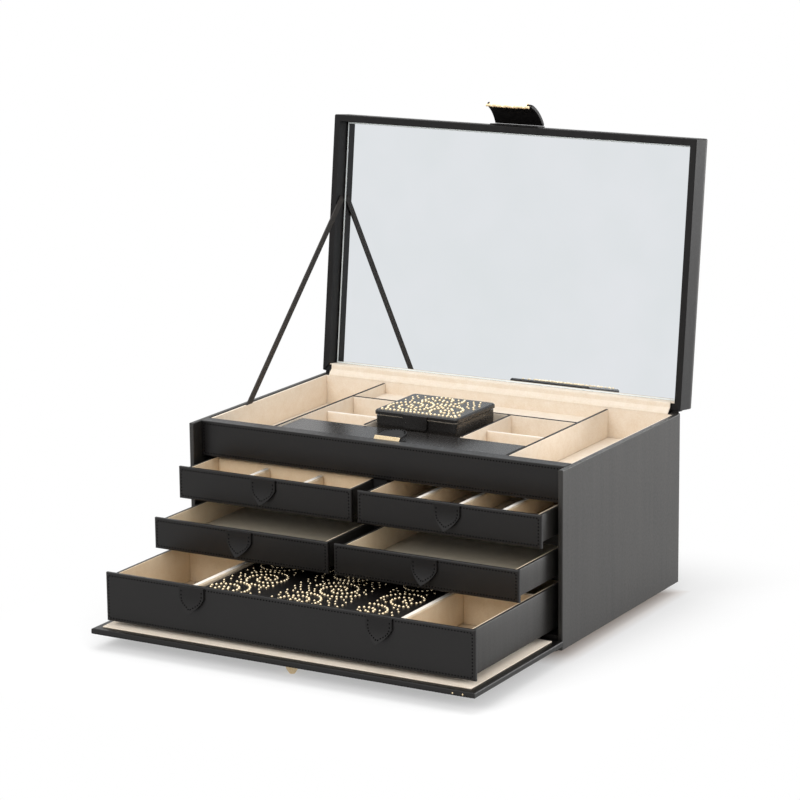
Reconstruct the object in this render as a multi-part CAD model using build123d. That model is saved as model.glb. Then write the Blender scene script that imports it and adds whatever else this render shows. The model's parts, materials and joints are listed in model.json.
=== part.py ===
from build123d import *
import math
import os

# Tiered jewelry box with a mirrored lid, a drop front, five drawers and two small travel cases.
# Millimetres. X runs to the right, Y to the back and Z up. The origin lies on the table under the
# middle of the case. The box stands open: the lid is up against its stay strap, the drop front
# lies forward on its lotus knob and every drawer is pulled out by its own amount.

# Case: leather-covered boards
case_width = 400.0
case_depth = 250.5
board = 4.8
board_round = 1.0
ground_clearance = 10.6
base_recess = 4.0
base_thickness = 12.7
foot_radius = 13.0
foot_taper = 2.0
foot_inset = 30.0

# Drawer tiers, from the base up
running_gap = 0.3
side_gap = 0.5
head_gap = 1.6
bottom_box_height = 41.2
middle_box_height = 24.8
upper_box_height = 25.9
lower_shelf = 6.0
upper_shelf = 12.1
partition = 14.4
guide_thickness = 5.9
guide_margin = 4.0
box_rear_gap = 3.4

# Drawer fronts, boxes and linings
front_thickness = 4.5
front_round = 1.4
lip_above = 2.2
lip_below = 3.0
lip_side = 4.7
box_wall = 3.0
box_floor = 2.5
suede = 1.0
drawer_divider = 6.4
wide_divider = 7.0
divider_drop = 4.6
front_cell_depth = 49.5
wide_divider_place = 109.5

# How far each tier stands out of the case
upper_pulled_out = 43.3
middle_pulled_out = 86.3
bottom_pulled_out = 167.6

# Shield-shaped leather pulls
pull_width = 26.5
pull_height = 23.5
pull_thickness = 1.8
pull_seat = 5.0
pull_lift = 6.0
pull_shoulder_share = 0.42
pull_belly_share = 0.84
pull_belly_width_share = 0.42

# Tray in the top of the case
tray_floor_thickness = 4.6
tray_depth = 31.5
tray_wall_lining = 2.4
tray_rim_drop = 1.0
apron_height = 34.5
apron_thickness = 14.0
apron_recess = 14.0
tray_divider = 3.2
divider_top_drop = 2.5
side_bay = 66.2
rear_bay = 61.4
rear_bay_height = 10.0
rear_floor_thickness = 3.0
compartment_depth = 49.6
well_width = 102.0
low_divider_drop = 5.0

# Lidded compartment in the tray
compartment_lid_thickness = 2.6
compartment_lid_drop = 1.0
compartment_lid_side_gap = 2.6
compartment_lid_front_gap = 0.8
bar_length = 27.0
bar_width = 6.4
bar_thickness = 1.4
bar_inset = 1.0
bar_round = 0.4
bar_lean = 48.0
loop_width = 26.0
loop_length = 23.0
loop_thickness = 1.8
loop_lean = 6.0

# Small travel case that stands in the well
mini_width = 91.0
mini_depth = 78.0
mini_base_height = 36.6
mini_wall = 2.6
mini_overhang = 1.0
mini_rim = 1.3
mini_rim_wall = 2.0
mini_lid_thickness = 4.2
mini_corner = 4.0
mini_edge_round = 1.4
mini_front_gap = 5.4
mini_strap_width = 26.0
mini_strap_drop = 11.0
mini_strap_thickness = 1.6
mini_hinge_width = 70.0
mini_hinge_height = 14.0

# Studded travel case in the bottom drawer
studded_height = 31.0
studded_rear_gap = 21.8
studded_lid = 5.0
studded_gap = 1.0
studded_corner = 5.0
studded_edge_round = 1.5
studded_overhang = 0.8

# Lid with its mirror
lid_overhang = 0.7
lid_front_reach = 10.9
lid_height = 25.9
lid_top = 4.0
lid_wall = 6.5
lid_gap = 2.3
lid_round = 1.6
lid_open_angle = 96.9
mirror_depth = 15.5
mirror_glass = 3.0
mirror_margin = 0.6
backing_margin = 4.0

# Long hinge at the back, and the suede gusset that hides it
knuckle_radius = 1.9
hinge_pin_radius = 0.8
hinge_bore_gap = 0.05
hinge_leaf = 1.0
hinge_clear = 0.4
hinge_margin = 12.0
knuckle_count = 5
knuckle_gap = 0.4
gusset_thickness = 1.0
gusset_bend = 0.9
gusset_margin = 3.0

# Stay strap on the left
strap_width = 7.0
strap_thickness = 1.4
strap_low_place = 28.6
strap_high_place = 177.0
strap_high_depth = 10.8
strap_seat = 0.1

# Clasp: a curved leather tab with a metal plate
clasp_width = 53.0
clasp_tip_width = 50.0
clasp_corner = 3.5
clasp_thickness = 3.0
clasp_length = 31.2
clasp_radius = 45.0
clasp_lean = 34.0
clasp_place = 20.0
clasp_root_thickness = 1.2
clasp_root_height = 17.0
clasp_root_place = 15.5
plate_thickness = 1.0
plate_margin = 4.5
plate_reach = 4.0

# Drop front and its lotus knob
drop_overhang = 1.0
drop_length = 168.3
drop_thickness = 5.3
drop_round = 1.2
drop_lining = 1.2
drop_lining_inset = 7.5
hinge_strip_width = 30.0
hinge_strip_thickness = 1.0
hinge_strip_inset = 8.0
knob_place = 141.7
knob_radius = 6.75
knob_foot_radius = 2.8
knob_bowl = 10.2
knob_waist_share = 0.44
knob_waist_radius = 5.6
knob_stem_radius = 3.2
knob_collar_radius = 5.2
knob_collar = 1.2
petal_count = 8
flute_radius = 1.1
flute_out = 1.4

# Levels and planes that follow from the sizes above
case_floor = ground_clearance
base_underside = case_floor + base_recess
base_top = base_underside + base_thickness
bottom_level = base_top + running_gap
lower_shelf_underside = bottom_level + bottom_box_height + head_gap
lower_shelf_top = lower_shelf_underside + lower_shelf
middle_level = lower_shelf_top + running_gap
upper_shelf_underside = middle_level + middle_box_height + head_gap
upper_shelf_top = upper_shelf_underside + upper_shelf
upper_level = upper_shelf_top + running_gap
tray_underside = upper_level + upper_box_height + head_gap
tray_board_top = tray_underside + tray_floor_thickness
tray_floor_top = tray_board_top + suede
case_top = tray_board_top + tray_depth
inner_half = case_width / 2 - board
front_plane = -case_depth / 2
back_plane = case_depth / 2
back_inner = back_plane - board
apron_face = front_plane + apron_recess
apron_back = apron_face + apron_thickness
box_front = apron_face + front_thickness
box_back = back_inner - box_rear_gap
suede_front = box_front + suede
suede_back = box_back - box_wall - suede
board_front = box_front + running_gap
divider_top = case_top - divider_top_drop
lining_inner = inner_half - tray_wall_lining
bay_edge = lining_inner - side_bay
bay_inner = bay_edge - tray_divider
tray_rear = back_inner - tray_wall_lining
cross_back = tray_rear - rear_bay
cross_front = cross_back - tray_divider
compartment_back = apron_back + compartment_depth
well_front = compartment_back + tray_divider
compartment_lid_top = divider_top - compartment_lid_drop
compartment_lid_low = compartment_lid_top - compartment_lid_thickness
compartment_front = apron_back + compartment_lid_front_gap
mini_front = well_front + mini_front_gap
mini_back = mini_front + mini_depth
mini_base_top = tray_floor_top + mini_base_height
mini_lid_low = mini_base_top + mini_rim + running_gap
box_inner_edge = partition / 2 + side_gap
box_outer_edge = inner_half - guide_thickness - side_gap
hinge_height = case_top + lid_gap
hinge_length = 2 * (inner_half - hinge_margin)
lid_half = case_width / 2 + lid_overhang
lid_inner = lid_half - lid_wall
lid_rim = case_top + running_gap
lid_front = front_plane - lid_front_reach
drop_edge = front_plane - running_gap
drop_top = base_underside + drop_thickness


def block(x, y, z):
    """A plain board between the given low and high values on each axis."""
    size = [high - low for low, high in (x, y, z)]
    middle = [(low + high) / 2 for low, high in (x, y, z)]
    return Pos(*middle) * Box(*size)


def soft_board(x, y, z, flat, radius):
    """A leather-covered board, rounded along the rims of its two broad faces."""
    solid = block(x, y, z)
    return fillet(solid.faces().filter_by(flat).edges(), radius)


def slab(x, y, z, corner, edge):
    """A flat piece with round corners in plan and a bevelled top rim."""
    solid = drum(x, y, z, corner)
    return chamfer(solid.edges().group_by(Axis.Z)[-1], edge)


def drum(x, y, z, corner):
    """A block with round corners in plan only."""
    return fillet(block(x, y, z).edges().filter_by(Axis.Z), corner)


def rod(x, y, z, radius):
    """A round bar along X."""
    return Pos((x[0] + x[1]) / 2, y, z) * Rot(0, 90, 0) * Cylinder(radius, x[1] - x[0])


def flat_prism(points, low, high):
    """An outline of (x, y) points between two heights."""
    outline = Polyline(*[(x, y, low) for x, y in points], close=True)
    return extrude(make_face(outline.edges()), amount=high - low, dir=(0, 0, 1))


def side_prism(points, x):
    """An outline of (y, z) points drawn across x."""
    outline = Polyline(*[(x[0], y, z) for y, z in points], close=True)
    return extrude(make_face(outline.edges()), amount=x[1] - x[0], dir=(1, 0, 0))


def mirrored(solid):
    """The same piece on the other side of the case."""
    return mirror(solid, Plane.YZ)


def group(solids):
    """Separate solids that share one node."""
    return Compound(children=list(solids))


def side_panel():
    """The right side of the case, one leather-covered board."""
    x = (inner_half, case_width / 2)
    return soft_board(x, (front_plane, back_plane), (case_floor, case_top), Axis.X, board_round)


def back_panel():
    """The back, set between the two sides on the base board."""
    return block((-inner_half, inner_half), (back_inner, back_plane), (base_top, case_top))


def base_board():
    """The base board, cut down at the front where the bottom drawer's front passes."""
    x = (-inner_half, inner_half)
    sill = bottom_level - lip_below - running_gap
    rear = block(x, (board_front, back_plane), (base_underside, base_top))
    return rear + block(x, (front_plane, board_front), (base_underside, sill))


def foot(x, y):
    """A round foot that narrows to the table."""
    cone = Cone(foot_radius - foot_taper, foot_radius, base_underside)
    return Pos(x, y, base_underside / 2) * cone


def feet():
    """Four feet, set in from the corners."""
    x = case_width / 2 - foot_inset
    y = case_depth / 2 - foot_inset
    return group(foot(i * x, j * y) for i in (-1, 1) for j in (-1, 1))


def front_apron():
    """The fixed front panel of the tray, set back from the front edges of the sides."""
    z = (case_top - apron_height, case_top)
    return soft_board((-inner_half, inner_half), (apron_face, apron_back), z, Axis.Y, board_round)


def tray_floor():
    """The board under the tray, which is also the roof over the upper drawers."""
    x = (-inner_half, inner_half)
    return block(x, (apron_back, back_inner), (tray_underside, tray_board_top))


def drawer_shelves():
    """The two shelves between the drawer tiers."""
    x = (-inner_half, inner_half)
    y = (board_front, back_inner)
    levels = [(lower_shelf_underside, lower_shelf_top), (upper_shelf_underside, upper_shelf_top)]
    return group(block(x, y, z) for z in levels)


def centre_partitions():
    """The upright boards between the left and right drawers of the two upper tiers."""
    x = (-partition / 2, partition / 2)
    y = (board_front, back_inner)
    levels = [(lower_shelf_top, upper_shelf_underside), (upper_shelf_top, tray_underside)]
    return group(block(x, y, z) for z in levels)


def drawer_guides():
    """Strips on the inside of the two sides that keep the drawers straight."""
    x = (inner_half - guide_thickness, inner_half)
    y = (board_front, back_inner)
    tiers = [
        (base_top, lower_shelf_underside - guide_margin),
        (lower_shelf_top, upper_shelf_underside - guide_margin),
        (upper_shelf_top, tray_underside - guide_margin),
    ]
    right = [block(x, y, z) for z in tiers]
    return group(right + [mirrored(strip) for strip in right])


def tray_lining():
    """Suede on the tray's floor, and suede-covered card round its sides and back."""
    z = (tray_floor_top, case_top - tray_rim_drop)
    y = (apron_back, back_inner)
    right = block((lining_inner, inner_half), y, z)
    back = block((-lining_inner, lining_inner), (tray_rear, back_inner), z)
    floor = block((-inner_half, inner_half), y, (tray_board_top, tray_floor_top))
    return group([right, mirrored(right), back, floor])


def tray_main_dividers():
    """The two long dividers that run from front to back, and the cross divider."""
    z = (tray_floor_top, divider_top)
    right = block((bay_inner, bay_edge), (apron_back, tray_rear), z)
    cross = block((-bay_inner, bay_inner), (cross_front, cross_back), z)
    return group([right, mirrored(right), cross])


def tray_small_dividers():
    """The compartment's back wall, the walls of the well, and a low divider on each side."""
    low = compartment_lid_low - running_gap
    rear = block((-bay_inner, bay_inner), (compartment_back, well_front), (tray_floor_top, low))
    x = (well_width / 2, well_width / 2 + tray_divider)
    wall = block(x, (well_front, cross_front), (tray_floor_top, divider_top))
    middle = (well_front + cross_front) / 2
    y = (middle - tray_divider / 2, middle + tray_divider / 2)
    short = block((x[1], bay_inner), y, (tray_floor_top, divider_top - low_divider_drop))
    return group([rear, wall, mirrored(wall), short, mirrored(short)])


def rear_tray_floor():
    """The raised floor of the shallow bay along the back of the tray."""
    top = divider_top - rear_bay_height
    z = (top - rear_floor_thickness, top)
    return block((-bay_inner, bay_inner), (cross_back, tray_rear), z)


def compartment_lid():
    """The front compartment's leather lid, round along the back edge that it turns on."""
    half = bay_inner - compartment_lid_side_gap
    nose = compartment_back + tray_divider / 2
    plate = block((-half, half), (compartment_front, nose), (compartment_lid_low, compartment_lid_top))
    middle = (compartment_lid_low + compartment_lid_top) / 2
    return plate + rod((-half, half), nose, middle, compartment_lid_thickness / 2)


def compartment_lid_bar():
    """The plain gold bar along the front of the compartment's lid, which leans back on the loop."""
    half = bar_length / 2
    bar = soft_board((-half, half), (0, bar_width), (0, bar_thickness), Axis.Z, bar_round)
    return Pos(0, compartment_front + bar_inset, compartment_lid_top) * Rot(bar_lean, 0, 0) * bar


def compartment_lid_loop():
    """The D-shaped leather pull: it rises behind the bar and lies back over the lid."""
    half = loop_width / 2
    lean = math.radians(bar_lean)
    front = compartment_front + bar_inset
    root = front + bar_width * math.cos(lean)
    crest = compartment_lid_top + bar_width * math.sin(lean)
    level = crest - loop_thickness
    straight = loop_length - half
    outline = [
        Line((-half, 0), (half, 0)),
        Line((half, 0), (half, straight)),
        ThreePointArc((half, straight), (0, loop_length), (-half, straight)),
        Line((-half, straight), (-half, 0)),
    ]
    tab = extrude(make_face(outline), amount=loop_thickness)
    tab = Pos(0, root, level) * Rot(loop_lean, 0, 0) * tab
    foot_line = [(root, compartment_lid_top), (front, compartment_lid_top)]
    riser = side_prism(foot_line + [(root, crest), (root + loop_thickness, level)], (-half, half))
    return tab + riser


def drawer_front(x, level, height):
    """A drawer front of one leather-covered board, proud of its box all round."""
    across = (x[0] - lip_side, x[1] + lip_side)
    z = (level - lip_below, level + height + lip_above)
    return soft_board(across, (apron_face, box_front), z, Axis.Y, front_round)


def drawer_box(x, level, height):
    """The two sides, the back and the bottom of a drawer box."""
    z = (level, level + height)
    y = (box_front, box_back - box_wall)
    inner = (x[0] + box_wall, x[1] - box_wall)
    left = block((x[0], inner[0]), (box_front, box_back), z)
    right = block((inner[1], x[1]), (box_front, box_back), z)
    back = block(inner, (box_back - box_wall, box_back), z)
    bottom = block(inner, y, (level, level + box_floor))
    return [left, right, back, bottom]


def drawer_lining(x, level, height):
    """The suede on the floor and the four walls inside a drawer box."""
    inner = (x[0] + box_wall, x[1] - box_wall)
    between = (inner[0] + suede, inner[1] - suede)
    y = (box_front, box_back - box_wall)
    low = level + box_floor
    z = (low + suede, level + height)
    floor = block(inner, y, (low, low + suede))
    left = block((inner[0], between[0]), y, z)
    right = block((between[1], inner[1]), y, z)
    front = block(between, (y[0], y[0] + suede), z)
    back = block(between, (y[1] - suede, y[1]), z)
    return [floor, left, right, front, back]


def drawer_divider_at(x, y, level, height):
    """A suede-covered divider that stands on the suede of a drawer's floor."""
    return block(x, y, (level + box_floor + suede, level + height - divider_drop))


def even_dividers(x, y, cells, level, height):
    """Dividers that share the width inside a drawer into equal cells."""
    low = x[0] + box_wall + suede
    high = x[1] - box_wall - suede
    pitch = (high - low + drawer_divider) / cells
    edges = [low + n * pitch for n in range(1, cells)]
    return [drawer_divider_at((edge - drawer_divider, edge), y, level, height) for edge in edges]


def drawer_pull(x, level, height):
    """A shield-shaped leather tab that curls away from the drawer's front towards its tip."""
    half = pull_width / 2
    shoulder = (half, -pull_height * pull_shoulder_share)
    belly = (half * pull_belly_width_share, -pull_height * pull_belly_share)
    tip = (0, -pull_height)
    outline = [
        Line((0, 0), (half, 0)),
        Line((half, 0), shoulder),
        ThreePointArc(shoulder, belly, tip),
        Line(tip, (0, 0)),
    ]
    right = extrude(make_face(outline), amount=pull_height)
    fall = pull_height - pull_seat
    curl = (fall * fall + pull_lift * pull_lift) / (2 * pull_lift)
    bend = Pos(0, -pull_seat, curl) * Rot(0, 90, 0)
    sheet = bend * (Cylinder(curl, pull_width) - Cylinder(curl - pull_thickness, pull_width))
    seat = block((-half, half), (-pull_seat, 0), (0, pull_thickness))
    below = block((-half, half), (-pull_height, -pull_seat), (0, curl))
    shield = (right + mirrored(right)) & ((sheet & below) + seat)
    top = level + height + lip_above - front_round
    return Pos(x, apron_face, top) * Rot(90, 0, 0) * shield


def drawer_pieces(name, x, tier, dividers, pulls):
    """All the nodes of one drawer, pulled out of the case by its tier's distance."""
    level, height, distance = tier
    solids = {
        "front": [drawer_front(x, level, height)],
        "box": drawer_box(x, level, height),
        "lining": drawer_lining(x, level, height) + dividers,
        "pull": [drawer_pull(place, level, height) for place in pulls],
    }
    out = Pos(0, -distance, 0)
    return {f"{name}_{part}": group(out * solid for solid in made) for part, made in solids.items()}


def drawers():
    """The five drawers: two in the upper tier, two in the middle one and a wide one below."""
    right = (box_inner_edge, box_outer_edge)
    left = (-box_outer_edge, -box_inner_edge)
    wide = (-box_outer_edge, box_outer_edge)
    upper = (upper_level, upper_box_height, upper_pulled_out)
    middle = (middle_level, middle_box_height, middle_pulled_out)
    bottom = (bottom_level, bottom_box_height, bottom_pulled_out)
    y = (suede_front, suede_back)
    cross = (y[0] + front_cell_depth, y[0] + front_cell_depth + drawer_divider)
    thirds = even_dividers(left, (y[0], cross[0]), 3, *upper[:2])
    across = (left[0] + box_wall + suede, left[1] - box_wall - suede)
    thirds.append(drawer_divider_at(across, cross, *upper[:2]))
    quarters = even_dividers(right, y, 4, *upper[:2])
    x = (wide_divider_place - wide_divider / 2, wide_divider_place + wide_divider / 2)
    side = drawer_divider_at(x, y, *bottom[:2])
    pull = (box_inner_edge + box_outer_edge) / 2
    made = {}
    made.update(drawer_pieces("upper_left", left, upper, thirds, [-pull]))
    made.update(drawer_pieces("upper_right", right, upper, quarters, [pull]))
    made.update(drawer_pieces("middle_left", left, middle, [], [-pull]))
    made.update(drawer_pieces("middle_right", right, middle, [], [pull]))
    made.update(drawer_pieces("bottom", wide, bottom, [side, mirrored(side)], [-pull, pull]))
    return made


def studded_travel_case():
    """The flat travel case that lies in the bottom drawer: a body and its top panel."""
    half = wide_divider_place - wide_divider / 2 - studded_gap
    y = (suede_front + studded_gap, suede_back - studded_rear_gap)
    low = bottom_level + box_floor + suede
    seam = low + studded_height - studded_lid
    x = (studded_overhang - half, half - studded_overhang)
    inner = (y[0] + studded_overhang, y[1] - studded_overhang)
    body = drum(x, inner, (low, seam), studded_corner)
    top = slab((-half, half), y, (seam, low + studded_height), studded_corner, studded_edge_round)
    out = Pos(0, -bottom_pulled_out, 0)
    return group([out * body, out * top])


def mini_case_base():
    """The small travel case's body: four walls and a bottom, open at the top."""
    half = mini_width / 2 - mini_overhang
    y = (mini_front + mini_overhang, mini_back - mini_overhang)
    outer = drum((-half, half), y, (tray_floor_top, mini_base_top), mini_corner)
    x = (mini_wall - half, half - mini_wall)
    y = (y[0] + mini_wall, y[1] - mini_wall)
    z = (tray_floor_top + mini_wall, mini_base_top + mini_wall)
    return outer - drum(x, y, z, mini_corner - mini_wall)


def mini_case_lining():
    """The suede liner of the small case, whose rim stands proud of the walls."""
    half = mini_width / 2 - mini_overhang - mini_wall
    y = (mini_front + mini_overhang + mini_wall, mini_back - mini_overhang - mini_wall)
    z = (tray_floor_top + mini_wall, mini_base_top + mini_rim)
    outer = drum((-half, half), y, z, mini_corner - mini_wall)
    x = (mini_rim_wall - half, half - mini_rim_wall)
    y = (y[0] + mini_rim_wall, y[1] - mini_rim_wall)
    return outer - block(x, y, (z[0] + suede, z[1] + suede))


def mini_case_hinge():
    """The leather strip down the back of the small case that its lid turns on."""
    x = (-mini_hinge_width / 2, mini_hinge_width / 2)
    y = (mini_back - mini_overhang, mini_back)
    return block(x, y, (mini_base_top - mini_hinge_height, mini_lid_low - running_gap))


def mini_case_lid():
    """The small case's lid, a board with round corners."""
    x = (-mini_width / 2, mini_width / 2)
    z = (mini_lid_low, mini_lid_low + mini_lid_thickness)
    return slab(x, (mini_front, mini_back), z, mini_corner, mini_edge_round)


def mini_case_strap():
    """The leather tab that comes down from the small case's lid over its front."""
    x = (-mini_strap_width / 2, mini_strap_width / 2)
    high = mini_lid_low + mini_lid_thickness - mini_edge_round
    tab = block(x, (mini_front - mini_strap_thickness, mini_front), (mini_lid_low - mini_strap_drop, high))
    return fillet(tab.edges().filter_by(Axis.Y).group_by(Axis.Z)[0], mini_corner)


def opened(solid):
    """A piece of the lid, turned from closed to where the stay strap holds it."""
    return solid.rotate(Axis((0, back_plane, hinge_height), (1, 0, 0)), -lid_open_angle)


def opened_point(forward, depth):
    """The (y, z) on the open lid of a place forward of its back edge and deep from its rim."""
    angle = math.radians(lid_open_angle)
    y = -forward
    z = lid_rim + depth - hinge_height
    return (
        back_plane + y * math.cos(angle) + z * math.sin(angle),
        hinge_height - y * math.sin(angle) + z * math.cos(angle),
    )


def lid_shell(low, high):
    """The lid's outer shape between two heights, with soft corners and outer edges."""
    solid = drum((-lid_half, lid_half), (lid_front, back_plane), (low, high), lid_round)
    rims = solid.edges().group_by(Axis.Z)
    return fillet(rims[0] + rims[-1], board_round)


def lid_top_panel():
    """The flat top board of the lid."""
    high = lid_rim + lid_height
    whole = lid_shell(lid_rim, high)
    cut = block((-case_width, case_width), (2 * lid_front, 2 * back_plane), (high - lid_top, high))
    return opened(whole & cut)


def lid_frame():
    """The four mitred walls of the lid, the back one grooved for the hinge."""
    high = lid_rim + lid_height - lid_top
    whole = lid_shell(lid_rim, lid_rim + lid_height)
    front = lid_front + lid_wall
    back = back_plane - lid_wall
    right_outline = [(lid_half, lid_front), (lid_half, back_plane), (lid_inner, back), (lid_inner, front)]
    front_outline = [(-lid_half, lid_front), (lid_half, lid_front), (lid_inner, front), (-lid_inner, front)]
    back_outline = [(-lid_half, back_plane), (lid_half, back_plane), (lid_inner, back), (-lid_inner, back)]
    right = whole & flat_prism(right_outline, lid_rim, high)
    groove = rod((-hinge_length / 2, hinge_length / 2), back_plane, hinge_height, knuckle_radius + hinge_clear)
    walls = [
        right,
        mirrored(right),
        whole & flat_prism(front_outline, lid_rim, high),
        (whole & flat_prism(back_outline, hinge_height, high)) - groove,
    ]
    return group(opened(wall) for wall in walls)


def lid_inside(margin, low, high):
    """A board that fills the lid inside its walls, less a margin all round."""
    x = (margin - lid_inner, lid_inner - margin)
    y = (lid_front + lid_wall + margin, back_plane - lid_wall - margin)
    return opened(block(x, y, (lid_rim + low, lid_rim + high)))


def lid_mirror():
    """The mirror glass, set deep in the lid."""
    return lid_inside(mirror_margin, mirror_depth, mirror_depth + mirror_glass)


def lid_backing():
    """The board between the mirror and the lid's top."""
    return lid_inside(backing_margin, mirror_depth + mirror_glass, lid_height - lid_top)


def lid_back_lining():
    """The suede inside the lid's back wall, from its rim to the mirror."""
    x = (mirror_margin - lid_inner, lid_inner - mirror_margin)
    y = (back_plane - lid_wall - suede, back_plane - lid_wall)
    return opened(block(x, y, (hinge_height, lid_rim + mirror_depth)))


def hinge_half(z, first):
    """One leaf of the hinge with every second barrel, each joined to it by a tongue."""
    pitch = hinge_length / knuckle_count
    near = back_plane - knuckle_radius - hinge_clear
    half = hinge_length / 2
    leaf = block((-half, half), (back_inner + running_gap, near), z)
    for n in range(first, knuckle_count, 2):
        x = (n * pitch - half + knuckle_gap / 2, (n + 1) * pitch - half - knuckle_gap / 2)
        leaf += block(x, (near, back_plane), z)
        leaf += rod(x, back_plane, hinge_height, knuckle_radius)
    return leaf - rod((-half, half), back_plane, hinge_height, hinge_pin_radius + hinge_bore_gap)


def lid_hinge_case_leaf():
    """The leaf that lies on the top edge of the back panel."""
    return hinge_half((case_top, case_top + hinge_leaf), 0)


def lid_hinge_lid_leaf():
    """The leaf under the rim of the lid's back wall."""
    return opened(hinge_half((hinge_height - hinge_leaf, hinge_height), 1))


def lid_hinge_pin():
    """The pin through all the barrels."""
    half = (hinge_length - knuckle_gap) / 2
    return rod((-half, half), back_plane, hinge_height, hinge_pin_radius)


def hinge_gusset():
    """The suede that runs from the tray's back wall over the hinge to the lid, one bent sheet."""
    half = gusset_thickness / 2
    over = hinge_leaf + gusset_thickness
    leaf_face = hinge_height - lid_rim - over
    middle = [
        (tray_rear + half, case_top - tray_rim_drop),
        (tray_rear + half, case_top),
        (back_inner - half, case_top + over),
        opened_point(knuckle_radius + hinge_clear, leaf_face),
        opened_point(lid_wall + suede / 2, leaf_face),
        opened_point(lid_wall + suede / 2, hinge_height - lid_rim),
    ]
    path = FilletPolyline(*[(0, y, z) for y, z in middle], radius=gusset_bend)
    across = 2 * (lining_inner - gusset_margin)
    start = Plane(path @ 0, x_dir=(1, 0, 0), z_dir=path % 0)
    return sweep(start * Rectangle(across, gusset_thickness), path)


def stay_strap():
    """The flat strap on the left that stops the lid, drawn tight."""
    low = (-strap_low_place, case_top - tray_rim_drop)
    high = opened_point(strap_high_place, strap_high_depth)
    length = math.hypot(high[0] - low[0], high[1] - low[1])
    y = (high[0] - low[0]) / length
    z = (high[1] - low[1]) / length
    reach = strap_width / 2 / z
    across = (z * strap_width / 2, -y * strap_width / 2)
    outline = [
        (low[0] - reach, low[1]),
        (low[0] + reach, low[1]),
        (high[0] + across[0], high[1] + across[1]),
        (high[0] - across[0], high[1] - across[1]),
    ]
    left = strap_seat - lid_inner
    return side_prism(outline, (left, left + strap_thickness))


def clasp_root():
    """The leather strip on the lid's front face that the clasp is sewn to."""
    middle = lid_rim + clasp_root_place
    x = (-clasp_width / 2, clasp_width / 2)
    z = (middle - clasp_root_height / 2, middle + clasp_root_height / 2)
    strip = block(x, (lid_front - clasp_root_thickness, lid_front), z)
    return opened(fillet(strip.edges().filter_by(Axis.Y), clasp_root_thickness))


def clasp_bend():
    """The line on the closed lid that the clasp turns about, as y and z."""
    out = clasp_root_thickness + running_gap + clasp_thickness / 2
    return lid_front - out, lid_rim + clasp_place


def clasp_sheet(thickness):
    """A round shell about the clasp's own centre line, as wide as its root."""
    y, z = clasp_bend()
    lean = math.radians(clasp_lean)
    middle = (y + clasp_radius * math.sin(lean), z - clasp_radius * math.cos(lean))
    x = (-clasp_width / 2, clasp_width / 2)
    outer = rod(x, *middle, clasp_radius + thickness / 2)
    return outer - rod(x, *middle, clasp_radius - thickness / 2)


def along_clasp(solid):
    """Turns what is drawn flat, forward of the bend, to run from the clasp's root to its tip."""
    y, z = clasp_bend()
    half_turn = math.degrees(math.asin(clasp_length / (2 * clasp_radius)))
    return Pos(0, y, z) * Rot(clasp_lean + half_turn, 0, 0) * solid


def clasp_leather():
    """The clasp's leather: the shell cut to a tapering outline with round corners."""
    root = clasp_width / 2
    tip = clasp_tip_width / 2
    outline = [(-root, 0), (root, 0), (tip, -clasp_length), (-tip, -clasp_length)]
    face = make_face(Polyline(*outline, close=True).edges())
    face = fillet(face.vertices().group_by(Axis.Y)[0], clasp_corner)
    return clasp_sheet(clasp_thickness) & along_clasp(extrude(face, amount=2 * clasp_thickness, both=True))


def clasp_tab():
    """The curved leather tab that springs from the lid's front face."""
    y, z = clasp_bend()
    root = rod((-clasp_width / 2, clasp_width / 2), y, z, clasp_thickness / 2)
    return opened(clasp_leather() + root)


def clasp_plate():
    """The gold plate that wraps the clasp's tip on both faces."""
    half = clasp_tip_width / 2 - plate_margin
    y = (-clasp_length - plate_thickness, plate_reach - clasp_length)
    cap = along_clasp(block((-half, half), y, (-2 * clasp_thickness, 2 * clasp_thickness)))
    return opened((clasp_sheet(clasp_thickness + 2 * plate_thickness) & cap) - clasp_leather())


def drop_front_panel():
    """The front that folds down, a leather-covered board that lies level with the base."""
    half = case_width / 2 + drop_overhang
    y = (drop_edge - drop_length, drop_edge)
    return soft_board((-half, half), y, (base_underside, drop_top), Axis.Z, drop_round)


def drop_front_lining():
    """The suede on the inside of the drop front."""
    half = case_width / 2 + drop_overhang - drop_lining_inset
    y = (drop_edge - drop_length + drop_lining_inset, drop_edge - drop_lining_inset)
    return block((-half, half), y, (drop_top, drop_top + drop_lining))


def drop_front_hinge_strip():
    """The leather strip under the base and the drop front that the drop front turns on."""
    half = inner_half - hinge_strip_inset
    y = (drop_edge - hinge_strip_width / 2, drop_edge + hinge_strip_width / 2)
    return block((-half, half), y, (base_underside - hinge_strip_thickness, base_underside))


def lotus_knob():
    """The lotus knob of the drop front: a fluted bowl of pointed petals on a stem and a collar."""
    waist = (knob_waist_radius, knob_bowl * knob_waist_share)
    outline = [(0, 0), (knob_foot_radius, 0), waist, (knob_radius, knob_bowl), (0, knob_bowl)]
    knob = revolve(Plane.XZ * make_face(Polyline(*outline, close=True).edges()), Axis.Z)
    middle = Pos((knob_foot_radius + knob_radius) / 2 + flute_out, 0, knob_bowl / 2)
    lean = math.degrees(math.atan2(knob_radius - knob_foot_radius, knob_bowl))
    flute = middle * Rot(0, lean, 0) * Cylinder(flute_radius, 2 * knob_bowl)
    notch = rod((0, 2 * knob_radius), 0, knob_bowl, math.pi * knob_radius / petal_count)
    for n in range(petal_count):
        turn = Rot(0, 0, 360 * (n + 0.5) / petal_count)
        knob -= turn * flute
        knob -= turn * notch
    stem = base_underside - knob_foot_radius
    knob += Pos(0, 0, base_underside - stem / 2) * Cylinder(knob_stem_radius, stem)
    knob += Pos(0, 0, base_underside - knob_collar / 2) * Cylinder(knob_collar_radius, knob_collar)
    return Pos(0, drop_edge - knob_place, 0) * knob


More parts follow.
